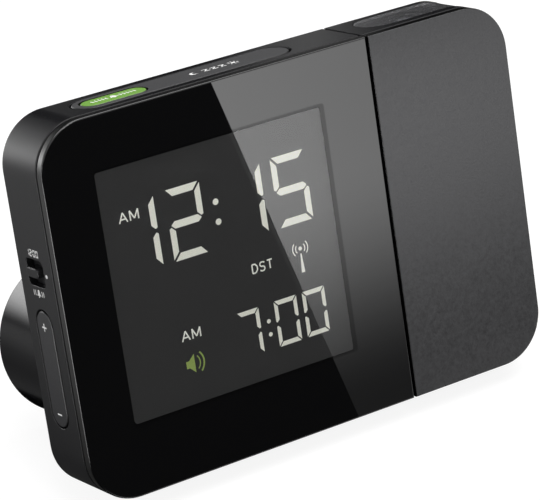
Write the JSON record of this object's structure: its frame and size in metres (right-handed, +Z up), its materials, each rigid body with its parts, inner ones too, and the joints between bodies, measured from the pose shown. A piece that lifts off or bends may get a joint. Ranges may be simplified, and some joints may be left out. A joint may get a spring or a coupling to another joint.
{
  "type": "projection alarm clock",
  "caption": "Slab-shaped digital alarm clock leaning back on a round rear foot, with a gloss display panel, top and side keys and a swivelling projector arm.",
  "frame": {"origin": "middle of the footprint, on the table that the feet rest on", "axes": "+Z up, +X to the right as the display is read, +Y away from the reader"},
  "size_m": [0.1354, 0.0598, 0.0966],
  "materials": {
    "gloss_black": "high gloss",
    "window_clear": "polished clear",
    "display_dark": "smooth dark display",
    "housing_black": "fine satin texture",
    "groove_black": "dull black",
    "arm_plate_grey": "fine matte grain",
    "key_grey": "fine satin texture",
    "key_green": "satin",
    "window_smoked": "polished smoked",
    "lens_clear": "polished",
    "board_green": "solder mask",
    "chip_black": "moulded",
    "inner_white": "smooth",
    "steel": "plain",
    "bush_acetal": "smooth",
    "ferrite": "sintered",
    "copper_wire": "enamelled wire",
    "cell_jacket": "printed sleeve, no print",
    "rubber_black": "dull"
  },
  "bodies": {
    "clock_body": {"front_panel": "gloss_black", "display_window": "window_clear", "panel_carrier": "groove_black", "lcd_glass": "display_dark", "light_guide": "inner_white", "lcd_frame": "inner_white", "main_board": "board_green", "control_chip": "chip_black", "body_shell": "housing_black", "rear_cover": "housing_black", "cover_screws": "steel", "battery_door": "housing_black", "battery_cells": "cell_jacket", "battery_contacts": "steel", "foot_drum": "housing_black", "drum_cap": "housing_black", "sounder": "steel", "slab_feet": "rubber_black", "drum_pad": "rubber_black", "top_key_board": "board_green", "side_key_board": "board_green", "key_board_screws": "steel", "tact_switches": "chip_black", "slide_switch": "steel", "aerial_rod": "ferrite", "aerial_coil": "copper_wire", "adaptor_inlet": "chip_black", "pivot_bush": "bush_acetal"},
    "projector_arm": {"pivot_axle": "steel", "pivot_washer": "steel", "pivot_clip": "steel", "arm_front_panel": "arm_plate_grey", "arm_carrier": "groove_black", "arm_shell": "housing_black", "arm_window": "window_smoked", "arm_back_cover": "housing_black", "arm_screws": "steel", "lamp_housing": "chip_black", "projector_slide": "display_dark", "lamp_board": "board_green", "projector_lamp": "lens_clear", "lens_barrel": "chip_black", "projector_lens": "lens_clear"},
    "snooze": {"snooze_bar": "key_grey"},
    "alarm": {"alarm_key": "key_green"},
    "rocker": {"plus_minus_rocker": "key_grey"},
    "mode": {"mode_knob": "housing_black"}
  },
  "joints": [
    {"name": "arm_swivel", "type": "hinge", "parent": "clock_body", "child": "projector_arm", "pos_m": [0.02645, -0.0086, 0.04876], "axis": [1, 0, 0], "range_deg": [-90, 90]},
    {"name": "snooze_press", "type": "slide", "parent": "clock_body", "child": "snooze", "axis": [0, -0.2529, -0.9675], "range_m": [0, 0.001], "stiffness_N_per_m": 800, "springref_m": -0.0006},
    {"name": "alarm_press", "type": "slide", "parent": "clock_body", "child": "alarm", "axis": [0, -0.2529, -0.9675], "range_m": [0, 0.0008], "stiffness_N_per_m": 800, "springref_m": -0.0006},
    {"name": "rocker_tip", "type": "hinge", "parent": "clock_body", "child": "rocker", "pos_m": [-0.06405, -0.01064, 0.0356], "axis": [0, 0.9675, -0.2529], "range_deg": [-2, 2], "stiffness_Nm_per_rad": 0.3},
    {"name": "mode_slide", "type": "slide", "parent": "clock_body", "child": "mode", "axis": [0, 0.2529, 0.9675], "range_m": [-0.0018, 0.0018]}
  ]
}
